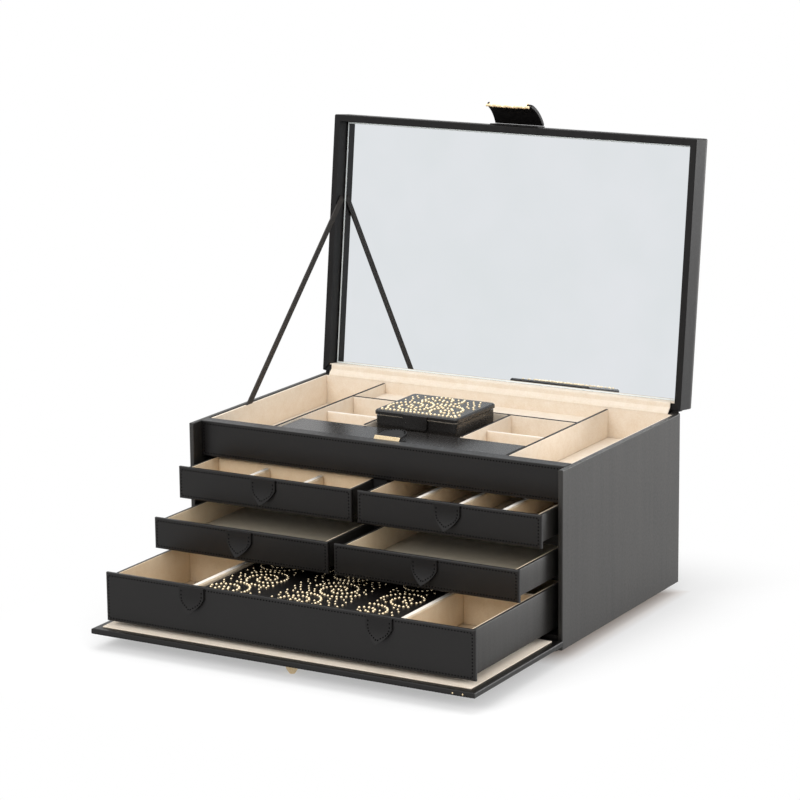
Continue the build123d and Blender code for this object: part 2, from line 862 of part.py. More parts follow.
def all_parts():
    """Every node and its solids."""
    parts = {
        "side_panel_right": side_panel(),
        "side_panel_left": mirrored(side_panel()),
        "back_panel": back_panel(),
        "base_board": base_board(),
        "feet": feet(),
        "front_apron": front_apron(),
        "tray_floor": tray_floor(),
        "drawer_shelves": drawer_shelves(),
        "centre_partitions": centre_partitions(),
        "drawer_guides": drawer_guides(),
        "tray_lining": tray_lining(),
        "tray_main_dividers": tray_main_dividers(),
        "tray_small_dividers": tray_small_dividers(),
        "rear_tray_floor": rear_tray_floor(),
        "compartment_lid": compartment_lid(),
        "compartment_lid_bar": compartment_lid_bar(),
        "compartment_lid_loop": compartment_lid_loop(),
        "mini_case_base": mini_case_base(),
        "mini_case_lining": mini_case_lining(),
        "mini_case_hinge": mini_case_hinge(),
        "mini_case_lid": mini_case_lid(),
        "mini_case_strap": mini_case_strap(),
        "studded_travel_case": studded_travel_case(),
        "lid_top_panel": lid_top_panel(),
        "lid_frame": lid_frame(),
        "lid_mirror": lid_mirror(),
        "lid_backing": lid_backing(),
        "lid_back_lining": lid_back_lining(),
        "lid_hinge_case_leaf": lid_hinge_case_leaf(),
        "lid_hinge_lid_leaf": lid_hinge_lid_leaf(),
        "lid_hinge_pin": lid_hinge_pin(),
        "hinge_gusset": hinge_gusset(),
        "stay_strap": stay_strap(),
        "clasp_root": clasp_root(),
        "clasp_tab": clasp_tab(),
        "clasp_plate": clasp_plate(),
        "drop_front_panel": drop_front_panel(),
        "drop_front_lining": drop_front_lining(),
        "drop_front_hinge_strip": drop_front_hinge_strip(),
        "lotus_knob": lotus_knob(),
    }
    parts.update(drawers())
    return parts


os.makedirs("parts", exist_ok=True)
for node, shape in all_parts().items():
    export_step(shape, f"parts/{node}.step")
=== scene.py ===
import bmesh
import bpy
import json
import math
import random
from mathutils import Matrix, Vector


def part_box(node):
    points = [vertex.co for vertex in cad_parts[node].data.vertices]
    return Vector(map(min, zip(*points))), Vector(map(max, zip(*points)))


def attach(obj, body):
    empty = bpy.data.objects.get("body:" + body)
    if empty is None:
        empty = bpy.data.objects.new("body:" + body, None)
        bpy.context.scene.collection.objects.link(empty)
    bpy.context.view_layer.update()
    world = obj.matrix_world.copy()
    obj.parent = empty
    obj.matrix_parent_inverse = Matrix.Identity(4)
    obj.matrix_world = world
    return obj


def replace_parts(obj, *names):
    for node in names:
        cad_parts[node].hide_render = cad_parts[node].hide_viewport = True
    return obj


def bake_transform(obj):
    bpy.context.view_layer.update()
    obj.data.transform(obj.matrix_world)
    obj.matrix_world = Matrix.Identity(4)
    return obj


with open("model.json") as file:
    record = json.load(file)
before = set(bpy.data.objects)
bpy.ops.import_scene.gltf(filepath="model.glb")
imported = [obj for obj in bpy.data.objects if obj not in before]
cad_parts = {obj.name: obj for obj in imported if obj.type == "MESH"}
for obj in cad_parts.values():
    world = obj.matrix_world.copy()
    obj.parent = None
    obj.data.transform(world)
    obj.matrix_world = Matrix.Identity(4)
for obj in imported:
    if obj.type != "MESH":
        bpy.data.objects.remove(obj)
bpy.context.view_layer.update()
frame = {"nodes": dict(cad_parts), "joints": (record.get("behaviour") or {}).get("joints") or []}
MM = 0.001


# The studio: a white table that fades into a white room. One large soft light hangs overhead,
# one stands behind at the right, and one at the front left reaches into the drawers. The camera
# stands three metres off with a long lens, a little above the box and to its right.
def paint(code):
    """A colour written as sRGB hex, turned to linear with full alpha."""
    parts = [int(code[n:n + 2], 16) / 255 for n in (1, 3, 5)]
    return [c / 12.92 if c <= 0.04045 else ((c + 0.055) / 1.055) ** 2.4 for c in parts] + [1.0]


def wire(tree, node, inputs):
    """Sets or links a node's inputs: each takes a number, a colour or another node's output."""
    for key, value in inputs.items():
        if isinstance(value, bpy.types.NodeSocket):
            tree.links.new(value, node.inputs[key])
        else:
            node.inputs[key].default_value = value


def add(tree, kind, inputs=None, **settings):
    """Adds a shader node with its settings and inputs."""
    made = tree.nodes.new("ShaderNode" + kind)
    for key, value in settings.items():
        setattr(made, key, value)
    wire(tree, made, inputs or {})
    return made


def tone_of(tree, pattern, dark, light):
    """The colour between two sRGB ones that a pattern picks."""
    return add(tree, "Mix", {0: pattern, 6: paint(dark), 7: paint(light)}, data_type="RGBA").outputs[2]


def looked_at(tree):
    """One for rays that look at a surface, straight or by reflection, and zero for lighting."""
    path = add(tree, "LightPath").outputs
    mirrored = add(tree, "Math", {0: path["Is Glossy Ray"], 1: path["Is Transmission Ray"]}, operation="MAXIMUM")
    return add(tree, "Math", {0: path["Is Camera Ray"], 1: mirrored.outputs[0]}, operation="MAXIMUM").outputs[0]


ROOM_LIGHT = 0.8
room = bpy.data.worlds.new("white_room")
room.use_nodes = True
bpy.context.scene.world = room
tree = room.node_tree
tree.nodes.clear()
strength = add(tree, "MapRange", {"Value": looked_at(tree), "To Min": ROOM_LIGHT, "To Max": 1.0}).outputs[0]
sky = add(tree, "Background", {"Color": paint("#ffffff"), "Strength": strength})
add(tree, "OutputWorld", {"Surface": sky.outputs[0]})

# Painted white board: matte. To the eye it also glows, a little near the box and fully further
# off, so that the soft shadow shows and the rest fades to pure white. Close under the rear of the
# box a warm tan shade is painted into its colour and its glow
NEAR_GLOW = 0.38
GLOW_FADE = (1.0, 1.75)  # in footprints from the middle
SHADE_TINT_FADE = (0.85, 1.05)  # in footprints too
SHADE_TINT_REAR = (-0.14, -0.1)  # metres, front to back
TABLE_HALF = 30
table_white = bpy.data.materials.new("white_painted_board")
table_white.use_nodes = True
tree = table_white.node_tree
tree.nodes.clear()
matte = add(tree, "BsdfDiffuse", {"Color": paint("#f4f4f4"), "Roughness": 1.0})
FOOTPRINT = Vector((0.2, 0.21, 1.0))
FOOTPRINT_MIDDLE = Vector((0, -0.085, 0))
place = add(tree, "TexCoord").outputs["Object"]
offset = add(tree, "VectorMath", {0: place, 1: FOOTPRINT_MIDDLE}, operation="SUBTRACT").outputs[0]
scaled = add(tree, "VectorMath", {0: offset, 1: FOOTPRINT}, operation="DIVIDE").outputs[0]
sides = add(tree, "SeparateXYZ", {0: add(tree, "VectorMath", {0: scaled}, operation="ABSOLUTE").outputs[0]}).outputs
away = add(tree, "Math", {0: sides[0], 1: sides[1]}, operation="MAXIMUM").outputs[0]
share = add(tree, "MapRange", {"Value": away, "From Min": GLOW_FADE[0], "From Max": GLOW_FADE[1],
                               "To Min": NEAR_GLOW, "To Max": 1.0}, interpolation_type="SMOOTHSTEP").outputs[0]
# Where the painted tan shade lies: inside the footprint, towards its rear
near = add(tree, "MapRange", {"Value": away, "From Min": SHADE_TINT_FADE[0], "From Max": SHADE_TINT_FADE[1],
                              "To Min": 1.0, "To Max": 0.0}).outputs[0]
depth = add(tree, "SeparateXYZ", {0: place}).outputs[1]
rear = add(tree, "MapRange", {"Value": depth, "From Min": SHADE_TINT_REAR[0], "From Max": SHADE_TINT_REAR[1]}).outputs[0]
warm_shade_mask = add(tree, "Math", {0: near, 1: rear}, operation="MULTIPLY").outputs[0]
seen = add(tree, "BsdfDiffuse", {"Color": tone_of(tree, warm_shade_mask, "#f4f4f4", "#caa684"), "Roughness": 1.0})
glow = add(tree, "Emission", {"Color": tone_of(tree, warm_shade_mask, "#ffffff", "#5c4028"), "Strength": 1.0})
both = add(tree, "MixShader", {0: share, 1: seen.outputs[0], 2: glow.outputs[0]})
shown = add(tree, "MixShader", {0: looked_at(tree), 1: matte.outputs[0], 2: both.outputs[0]})
add(tree, "OutputMaterial", {"Surface": shown.outputs[0]})

bm = bmesh.new()
bmesh.ops.create_grid(bm, x_segments=1, y_segments=1, size=TABLE_HALF)
mesh = bpy.data.meshes.new("table")
bm.to_mesh(mesh)
table = bpy.data.objects.new("table", mesh)
bpy.context.scene.collection.objects.link(table)
mesh.materials.append(table_white)


def soft_light(name, place, aim, size, power):
    """A square studio light at a place, turned to face a point."""
    lamp = bpy.data.lights.new(name, "AREA")
    lamp.size = size
    lamp.energy = power
    made = bpy.data.objects.new(name, lamp)
    made.location = place
    made.rotation_euler = (Vector(aim) - Vector(place)).to_track_quat("-Z", "Y").to_euler()
    bpy.context.scene.collection.objects.link(made)


centre = (0, 0, 0.2)
soft_light("overhead_light", (-0.2, 0.1, 2.0), centre, 1.8, 17)
soft_light("right_light", (1.5, 1.5, 0.55), centre, 1.0, 25)
soft_light("front_light", (-0.5, -2.5, 1.75), centre, 1.1, 19)

AZIMUTH = math.radians(29.86)
ELEVATION = math.radians(13.03)
ROLL = math.radians(-0.58)
DISTANCE = 3.00519
LENS = 140.26
LOOK_AT = Vector((-0.03888, 0, 0.1928))
level = math.cos(ELEVATION)
back = Vector((math.sin(AZIMUTH) * level, -math.cos(AZIMUTH) * level, math.sin(ELEVATION)))
right = Vector((math.cos(AZIMUTH), math.sin(AZIMUTH), 0))
up = back.cross(right)
tilted_right = math.cos(ROLL) * right + math.sin(ROLL) * up
tilted_up = math.cos(ROLL) * up - math.sin(ROLL) * right
camera = bpy.data.objects.new("camera", bpy.data.cameras.new("camera"))
camera.data.lens = LENS
camera.data.sensor_width = 36
camera.matrix_world = Matrix.Translation(LOOK_AT + back * DISTANCE) @ Matrix(
    (tilted_right, tilted_up, back)).transposed().to_4x4()
bpy.context.scene.collection.objects.link(camera)
bpy.context.scene.camera = camera
bpy.context.scene.view_settings.view_transform = "Standard"


# The case: boards covered in black calf leather, with a fixed apron across the front of the
# tray. The apron is sewn all round near its edges. Four moulded feet are fixed under the base.
def finish_of(name):
    """An empty material with its node tree and its Principled shader."""
    made = bpy.data.materials.new(name)
    made.use_nodes = True
    return made, made.node_tree, made.node_tree.nodes["Principled BSDF"]


def noise(tree, lump, detail):
    """A noise pattern with lumps of about the given size, fixed to the object."""
    place = add(tree, "TexCoord").outputs["Object"]
    return add(tree, "TexNoise", {"Vector": place, "Scale": 1 / lump, "Detail": detail}).outputs["Fac"]


def calf_leather(name, dark, light, grain, rough, gloss, streaks=0.0, relief=0.28):
    """Vegetable-tanned calf, dyed and pressed smooth: a fine pebble, slow tone changes, and
    faint upright streaks where it is stretched over a board."""
    made, tree, shader = finish_of(name)
    place = add(tree, "TexCoord").outputs["Object"]
    pebble = add(tree, "TexVoronoi", {"Vector": place, "Scale": 1 / grain}, feature="SMOOTH_F1").outputs["Distance"]
    crease = add(tree, "TexNoise", {"Vector": place, "Scale": 0.4 / grain, "Detail": 6.0}).outputs["Fac"]
    tone = add(tree, "TexNoise", {"Vector": place, "Scale": 1 / LEATHER_TONE, "Detail": 3.0}).outputs["Fac"]
    mottle = add(tree, "Math", {0: tone, 1: crease, 2: 0.1}, operation="MULTIPLY_ADD").outputs[0]
    upright = add(tree, "Mapping", {"Vector": place, "Scale": (1.0, 1.0, 0.05)}).outputs[0]
    drag = add(tree, "TexNoise", {"Vector": upright, "Scale": 1 / LEATHER_STREAK, "Detail": 3.0}).outputs["Fac"]
    drawn = add(tree, "Math", {0: drag, 1: -0.5}, operation="ADD").outputs[0]
    mottle = add(tree, "Math", {0: drawn, 1: streaks, 2: mottle}, operation="MULTIPLY_ADD").outputs[0]
    sheen = add(tree, "MapRange", {"Value": crease, "From Min": 0.3, "From Max": 0.7,
                                   "To Min": rough - relief / 4, "To Max": rough + relief / 4}).outputs[0]
    height = add(tree, "Math", {0: pebble, 1: crease}, operation="ADD").outputs[0]
    bump = add(tree, "Bump", {"Height": height, "Strength": relief, "Distance": grain * 0.12}).outputs["Normal"]
    wire(tree, shader, {"Base Color": tone_of(tree, mottle, dark, light), "Roughness": sheen,
                        "Specular IOR Level": gloss, "Normal": bump})
    return made


LEATHER_TONE = 45 * MM
LEATHER_STREAK = 7 * MM
LEATHER_GRAIN = 0.9 * MM  # drawn coarser than the real 0.5 mm so that it shows
black_leather = calf_leather("black_calf_leather", "#0f0d0d", "#1a1817", LEATHER_GRAIN, 0.36, 0.3)
# The same black calf as the fronts, drawn lighter: painted light for the brighter sheen on the sides, back and
# drawer boxes
lit_panel_leather = calf_leather("stretched_calf_leather_painted_light", "#1d1b19", "#302e2b", LEATHER_GRAIN, 0.42, 0.45, streaks=1.3)
polished_leather = calf_leather("polished_calf_leather", "#1c1a18", "#242120", LEATHER_GRAIN, 0.27, 0.5, relief=0.04)
waxed_leather = calf_leather("waxed_calf_leather", "#0e0c0c", "#181615", LEATHER_GRAIN, 0.5, 0.24)


def dress(material, *nodes):
    """Gives CAD nodes that stay a real finish."""
    for node in nodes:
        for slot in frame["nodes"][node].material_slots:
            slot.material = material


def piece(name, bm, material, slot, body=None, smooth=True):
    """Makes a bmesh a piece of the object. It rides on a body if one is given, and stays loose if not."""
    bmesh.ops.recalc_face_normals(bm, faces=bm.faces)
    mesh = bpy.data.meshes.new(name)
    bm.to_mesh(mesh)
    bm.free()
    mesh.materials.append(material)
    if smooth:
        mesh.shade_smooth()
        mesh.set_sharp_from_angle(angle=math.radians(35))
    made = bpy.data.objects.new(name, mesh)
    bpy.context.scene.collection.objects.link(made)
    if body:
        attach(made, body)
    return made


# The sides and back take the lighter leather with its painted light
dress(lit_panel_leather, "side_panel_left", "side_panel_right", "back_panel")
dress(black_leather, "base_board", "front_apron", "drop_front_hinge_strip")

# Waxed linen thread in small slanted stitches: black thread, drawn darker still with the painted shade of
# the holes it sits in. They are drawn a little wider than the real ones so that each one shows.
STITCH = Vector((1.7 * MM, 1.5 * MM, 0.7 * MM))
STITCH_PITCH = 3.1 * MM
STITCH_SLANT = math.radians(14)
STITCH_INSET = 2.9 * MM
black_thread_painted_shade, tree, shader = finish_of("waxed_linen_thread_painted_shade")
place = add(tree, "TexCoord").outputs["Object"]
twist = add(tree, "TexWave", {"Vector": place, "Scale": 1 / (0.5 * MM), "Distortion": 1.0}).outputs["Fac"]
ply = tone_of(tree, twist, "#020202", "#0b0a0a")
bump = add(tree, "Bump", {"Height": twist, "Strength": 0.4, "Distance": 0.05 * MM}).outputs["Normal"]
wire(tree, shader, {"Base Color": ply, "Roughness": 0.9, "Specular IOR Level": 0.05, "Normal": bump})


def bead(name, around, rings):
    """A small round mesh one unit across, to be repeated."""
    made = bmesh.new()
    bmesh.ops.create_uvsphere(made, u_segments=around, v_segments=rings, radius=0.5)
    mesh = bpy.data.meshes.new(name)
    made.to_mesh(mesh)
    return mesh


def repeat(bm, shape, places):
    """Adds a copy of a small mesh at each place."""
    for place in places:
        shape.transform(place)
        bm.from_mesh(shape)
        shape.transform(place.inverted())


stitch = bead("stitch", 6, 4)


def sew(bm, start, end, normal):
    """A row of stitches from one point to another on a face with the given normal."""
    start, end, normal = Vector(start), Vector(end), Vector(normal).normalized()
    along = (end - start).normalized()
    count = max(1, round((end - start).length / STITCH_PITCH))
    turned = Matrix((along, normal.cross(along), normal)).transposed().to_4x4()
    turned = turned @ Matrix.Rotation(STITCH_SLANT, 4, "Z") @ Matrix.Diagonal((*STITCH, 1))
    middles = [start + (end - start) * (n + 0.5) / count for n in range(count)]
    repeat(bm, stitch, [Matrix.Translation(middle) @ turned for middle in middles])


def sew_round(bm, corners, normal):
    """A closed row of stitches through the corners."""
    for n, corner in enumerate(corners):
        sew(bm, corner, corners[(n + 1) % len(corners)], normal)


def front_corners(low, high):
    """The corners of the stitch line on an upright board that faces forward."""
    x = (low.x + STITCH_INSET, high.x - STITCH_INSET)
    z = (low.z + STITCH_INSET, high.z - STITCH_INSET)
    return [(x[0], low.y, z[0]), (x[1], low.y, z[0]), (x[1], low.y, z[1]), (x[0], low.y, z[1])]


bm = bmesh.new()
sew_round(bm, front_corners(*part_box("front_apron")), (0, -1, 0))
piece("apron_stitching", bm, black_thread_painted_shade, "black_leather", "case")

# Moulded rubber feet: dull, with a little dust
black_rubber, tree, shader = finish_of("moulded_rubber")
dust = noise(tree, 3 * MM, 4.0)
tone = tone_of(tree, dust, "#141414", "#222120")
bump = add(tree, "Bump", {"Height": dust, "Strength": 0.2, "Distance": 0.1 * MM}).outputs["Normal"]
wire(tree, shader, {"Base Color": tone, "Roughness": 0.85, "Normal": bump})
dress(black_rubber, "feet")


# The carcass behind the drawers: shelves, partitions and guides of fibreboard, papered black
# on every face, so that the gaps round the drawers stay dark.
paper_black, tree, shader = finish_of("black_lining_paper")
fibre = noise(tree, 1.5 * MM, 6.0)
tone = tone_of(tree, fibre, "#0f0e0e", "#1b1a19")
bump = add(tree, "Bump", {"Height": fibre, "Strength": 0.25, "Distance": 0.08 * MM}).outputs["Normal"]
wire(tree, shader, {"Base Color": tone, "Roughness": 0.9, "Normal": bump})
dress(paper_black, "drawer_shelves", "centre_partitions", "drawer_guides", "tray_floor", "lid_backing")


# The tray: suede glued on the floor and on card round the walls, and suede-covered dividers. The
# long dividers, the cross one and the well's walls have a strip of black leather on top.
def suede(name, shade, light, nap):
    """Pigskin suede: no gloss, a short nap that lies both ways and catches light at its tips."""
    made, tree, shader = finish_of(name)
    place = add(tree, "TexCoord").outputs["Object"]
    brushed = add(tree, "TexNoise", {"Vector": place, "Scale": 0.12 / nap, "Detail": 5.0, "Roughness": 0.65})
    fibre = add(tree, "TexNoise", {"Vector": place, "Scale": 1 / nap, "Detail": 4.0}).outputs["Fac"]
    worn = add(tree, "Math", {0: brushed.outputs["Fac"], 1: 0.55}, operation="MULTIPLY").outputs[0]
    mottle = add(tree, "Math", {0: fibre, 1: 0.45, 2: worn}, operation="MULTIPLY_ADD").outputs[0]
    spread = add(tree, "MapRange", {"Value": mottle, "From Min": 0.3, "From Max": 0.7}).outputs[0]
    bump = add(tree, "Bump", {"Height": fibre, "Strength": 0.4, "Distance": nap * 0.25}).outputs["Normal"]
    wire(tree, shader, {"Base Color": tone_of(tree, spread, shade, light), "Roughness": 1.0,
                        "Specular IOR Level": 0.1, "Sheen Weight": 0.2, "Sheen Roughness": 0.5, "Normal": bump})
    return made


SUEDE_NAP = 1.2 * MM  # coarser than the real fibres so that it shows
cream_suede = suede("cream_pigskin_suede", "#e8d7c1", "#f5eadb", SUEDE_NAP)
# The drawers' suede is the same skin, drawn warmer and browner: painted shade and warm bounced light inside the
# drawers
shaded_drawer_suede = suede("pigskin_suede_painted_warm_shade", "#dfc9aa", "#eddcc2", SUEDE_NAP)


def board(bm, low, high, soft):
    """A board between two corners with all its edges rounded, added to a bmesh."""
    low, high = Vector(low), Vector(high)
    size = Matrix.Diagonal((*(high - low), 1))
    made = bmesh.ops.create_cube(bm, size=1, matrix=Matrix.Translation((low + high) / 2) @ size)
    edges = list({edge for vert in made["verts"] for edge in vert.link_edges})
    bmesh.ops.bevel(bm, geom=edges, offset=soft, offset_type="OFFSET", segments=3, profile=0.5,
                    affect="EDGES", material=-1)


def walls_round(bm, low, high, base, thick, soft, front=False):
    """Upright boards on a base along the left, right and back of a space, and its front if asked."""
    for x in (low.x, high.x - thick):
        board(bm, (x, low.y, base), (x + thick, high.y, high.z), soft)
    for y in (low.y, high.y - thick) if front else (high.y - thick,):
        board(bm, (low.x + thick, y, base), (high.x - thick, y + thick, high.z), soft)


def strip(bm, x, y, top, thick):
    """A thin strip along the top of a divider, mostly sunk into it."""
    board(bm, (x[0], y[0], top - thick), (x[1], y[1], top + thick / 2), thick / 2)


CARD_SOFT = 0.5 * MM
DIVIDER = 3.2 * MM
WALL_CARD = 2.4 * MM
SUEDE = 1.0 * MM
SUEDE_SOFT = 0.45 * MM
DIVIDER_SOFT = 1.0 * MM
CAP = 0.5 * MM
CAP_INSET = 0.4 * MM
EDGE = 0.3 * MM

low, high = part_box("tray_lining")
bm = bmesh.new()
board(bm, low, (high.x, high.y, low.z + SUEDE), CARD_SOFT / 2)
walls_round(bm, low, high, low.z + SUEDE, WALL_CARD, CARD_SOFT)
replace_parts(piece("tray_suede_lining", bm, cream_suede, "cream_suede", "case"), "tray_lining")

main_low, main_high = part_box("tray_main_dividers")
small_low, small_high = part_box("tray_small_dividers")
rear_low, rear_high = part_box("rear_tray_floor")
WELL_HALF = 51 * MM
LOW_DROP = 5 * MM
inner = main_high.x - DIVIDER
cross = rear_low.y
bm = bmesh.new()
caps = bmesh.new()
for side in (-1, 1):
    x = sorted((side * inner, side * main_high.x))
    board(bm, (x[0], main_low.y, main_low.z), (x[1], main_high.y, main_high.z), DIVIDER_SOFT)
    strip(caps, (x[0] + CAP_INSET, x[1] - CAP_INSET), (main_low.y, main_high.y), main_high.z, CAP)
board(bm, (-inner, cross - DIVIDER, main_low.z), (inner, cross, main_high.z), DIVIDER_SOFT)
strip(caps, (-inner, inner), (cross - DIVIDER + CAP_INSET, cross - CAP_INSET), main_high.z, CAP)
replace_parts(piece("tray_long_dividers", bm, cream_suede, "cream_suede", "case"), "tray_main_dividers")

bm = bmesh.new()
# Pale strips on the low dividers' tops: a painted highlight
edges = bmesh.new()
wall_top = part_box("compartment_lid")[0].z - 0.3 * MM
well_front = small_low.y + DIVIDER
board(bm, (-inner, small_low.y, small_low.z), (inner, well_front, wall_top), DIVIDER_SOFT)
middle = (well_front + cross - DIVIDER) / 2
for side in (-1, 1):
    x = sorted((side * WELL_HALF, side * (WELL_HALF + DIVIDER)))
    board(bm, (x[0], well_front, small_low.z), (x[1], cross - DIVIDER, small_high.z), DIVIDER_SOFT)
    strip(caps, (x[0] + CAP_INSET, x[1] - CAP_INSET), (well_front, cross - DIVIDER), small_high.z, CAP)
    x = sorted((side * (WELL_HALF + DIVIDER), side * inner))
    y = (middle - DIVIDER / 2, middle + DIVIDER / 2)
    board(bm, (x[0], y[0], small_low.z), (x[1], y[1], small_high.z - LOW_DROP), DIVIDER_SOFT)
    strip(edges, x, (y[0] + CAP_INSET, y[1] - CAP_INSET), small_high.z - LOW_DROP, EDGE)
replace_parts(piece("tray_short_dividers", bm, cream_suede, "cream_suede", "case"), "tray_small_dividers")
piece("divider_caps", caps, waxed_leather, "black_leather", "case")

# Pale strips along the tops of the dividers: a painted highlight where light falls on their rounded tops
highlight_suede = suede("cream_suede_painted_highlight", "#f6ecdd", "#fdf8f0", SUEDE_NAP)
piece("divider_highlights", edges, highlight_suede, "cream_suede", "case")

bm = bmesh.new()
board(bm, rear_low, rear_high, CARD_SOFT)
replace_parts(piece("rear_bay_floor", bm, cream_suede, "cream_suede", "case"), "rear_tray_floor")


# The compartment's lid: a leather-covered board that turns up on its back edge, with a plain
# gold bar near its front edge and a leather loop that lies back behind the bar.
def plated(name, dark, light, least, most):
    """Thin gold over another metal: bright, with faint smudges that are paler and duller."""
    made, tree, shader = finish_of(name)
    smudge = noise(tree, 2.5 * MM, 4.0)
    rub = add(tree, "MapRange", {"Value": smudge, "To Min": least, "To Max": most}).outputs[0]
    wire(tree, shader, {"Base Color": tone_of(tree, smudge, dark, light), "Metallic": 1.0, "Roughness": rub})
    return made


gold_plate = plated("gold_plated_brass", "#dcbd8c", "#f6e6c6", 0.1, 0.28)
dress(polished_leather, "compartment_lid")
dress(waxed_leather, "compartment_lid_loop")
loop_low, loop_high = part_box("compartment_lid_loop")
LOOP_INSET = 1.6 * MM
half = (loop_high.x - loop_low.x) / 2 - LOOP_INSET
turn_y = loop_high.y - LOOP_INSET - half
LOOP_STEPS = 12
arc = []
for n in range(LOOP_STEPS + 1):
    angle = math.pi * n / LOOP_STEPS
    arc.append((half * math.cos(angle), turn_y + half * math.sin(angle), loop_high.z))
bm = bmesh.new()
for start, end in zip(arc, arc[1:]):
    sew(bm, start, end, (0, 0, 1))
piece("loop_stitching", bm, black_thread_painted_shade, "black_leather", "compartment_cover")
dress(gold_plate, "compartment_lid_bar")


# The small case, which stands loose in the well: black leather over board, a suede liner whose
# rim stands proud, a leather strip for a hinge, and a lid set with round gold studs of two sizes.
dress(polished_leather, "mini_case_base", "mini_case_hinge", "mini_case_lid", "mini_case_strap")
dress(cream_suede, "mini_case_lining")

LARGE_STUD = 2.9 * MM
SMALL_STUD = 2.3 * MM
STUD_RISE = 0.95
STUD_SPACE = 1.45
ROW_SPACE = 1.55
SCROLL_START = 0.6
SCROLL_STEP = 0.25
SCROLL_REACH = 26 * MM
FILL_STEP = 7.5 * MM
FILL_ROW = 0.85
FILL_CLEAR = 1.4
FILL_STRAY = 0.2


def scrolls(low, high, curls, seed):
    """Places for studs: two-armed scrolls of large ones, and small ones in rows between."""
    chance = random.Random(seed)
    width = high[0] - low[0]
    count = round(width / (LARGE_STUD * ROW_SPACE))
    places = [(low[0] + width * (n + 0.5) / count, low[1] + LARGE_STUD, LARGE_STUD) for n in range(count)]

    def free(x, y, size):
        """True if a stud of this size fits inside the field and clear of the others."""
        inside = all(low[n] + size / 2 < at < high[n] - size / 2 for n, at in enumerate((x, y)))
        return inside and all(math.hypot(x - a, y - b) > (size + s) / 2 * STUD_SPACE for a, b, s in places)

    for x, y, reach, turn in curls:
        for arm in (0, math.pi):
            angle = SCROLL_START
            while angle * reach < SCROLL_REACH:
                r = angle * reach
                a, b = x + r * math.cos(angle + turn + arm), y + r * math.sin(angle + turn + arm)
                if free(a, b, LARGE_STUD):
                    places.append((a, b, LARGE_STUD))
                angle += SCROLL_STEP * LARGE_STUD / max(r, LARGE_STUD)
    row = 0
    y = low[1] + FILL_STEP
    while y < high[1]:
        x = low[0] + FILL_STEP * (0.5 + 0.5 * (row % 2))
        while x < high[0]:
            a = x + chance.uniform(-FILL_STRAY, FILL_STRAY) * FILL_STEP
            b = y + chance.uniform(-FILL_STRAY, FILL_STRAY) * FILL_STEP
            if free(a, b, LARGE_STUD * FILL_CLEAR):
                places.append((a, b, SMALL_STUD))
            x += FILL_STEP
        y += FILL_STEP * FILL_ROW
        row += 1
    return places


stud = bead("stud", 12, 8)

# Nickel under a thin pale gold: nearly white, with a clear small highlight
stud_gold = plated("pale_gold_plated_nickel", "#e6cfa6", "#fbeccd", 0.16, 0.34)


def studs(bm, places, top):
    """Round stud heads on a level top."""
    repeat(bm, stud, [Matrix.Translation((x, y, top)) @ Matrix.Diagonal((size, size, size * STUD_RISE, 1))
                      for x, y, size in places])


low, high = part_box("mini_case_lid")
STUD_MARGIN = 3.5 * MM
field = (low.x + STUD_MARGIN, low.y + STUD_MARGIN), (high.x - STUD_MARGIN, high.y - STUD_MARGIN)
mini_curls = [(-20 * MM, -12 * MM, 3.4 * MM, 0.4), (20 * MM, -14 * MM, 3.4 * MM, 2.2),
              (-2 * MM, 20 * MM, 3.6 * MM, 1.2)]
bm = bmesh.new()
studs(bm, scrolls(*field, mini_curls, 3), high.z)
piece("mini_case_studs", bm, stud_gold, "gold_plate", "mini_case_cover")


# The drawers: leather-covered fronts sewn near the edge all round, boxes of thin boards under
# leather, suede inside, suede-covered dividers, and a shield-shaped pull sewn on at its top.
taupe_suede = suede("taupe_pigskin_suede", "#c9bea6", "#dacfb8", SUEDE_NAP)
BOX_WALL = 3.0 * MM
BOX_FLOOR = 2.5 * MM
BOX_SOFT = 0.7 * MM
DRAWER_DIVIDER = 6.4 * MM
WIDE_DIVIDER = 7.0 * MM
DIVIDER_DROP = 4.6 * MM
FRONT_CELL = 49.5 * MM
WIDE_PLACE = 109.5 * MM
DIVIDER_ROUND = 2 * MM
DIVIDER_FOLD = 1.2 * MM
WALL_DROP = 0.6 * MM
BAY_DEPTH = 120.5 * MM
PULL_WIDTH = 26.5 * MM
PULL_INSET = 2.3 * MM
PULL_SEAT = 5.0 * MM
PULL_LIFT = 6.0 * MM
PULL_THICK = 1.8 * MM
PULL_SHOULDER = 0.42
PULL_CHEST_WIDTH = 0.83
PULL_BELLY = 0.84
PULL_BELLY_WIDTH = 0.42


def divide(walls, edges, x, thick, y, floor, top):
    """A padded divider that runs from front to back, with a paler strip along its top, a painted highlight."""
    board(walls, (x, y[0], floor), (x + thick, y[1], top), DIVIDER_ROUND)
    strip(edges, (x + DIVIDER_FOLD, x + thick - DIVIDER_FOLD), y, top, EDGE)


def even(low, high, cells, thick):
    """The low edges of the dividers that share a width into even cells."""
    pitch = (high - low + thick) / cells
    return [low + n * pitch - thick for n in range(1, cells)]


def shield(x, half, top, height, inset):
    """Points down the two sides of the pull's outline, less an inset, from its top corners."""
    half -= inset
    tip = (x, top - height + inset * 1.4)
    shoulder = top - height * PULL_SHOULDER
    belly = (half * PULL_BELLY_WIDTH, top - height * PULL_BELLY + inset)
    chest = (half * PULL_CHEST_WIDTH, (shoulder + belly[1]) / 2 - inset * 0.3)
    side = [(half, top - inset), (half, shoulder), chest, belly]
    left = [(x - a, b) for a, b in side]
    right = [(x + a, b) for a, b in side]
    return left + [tip] + right[::-1]


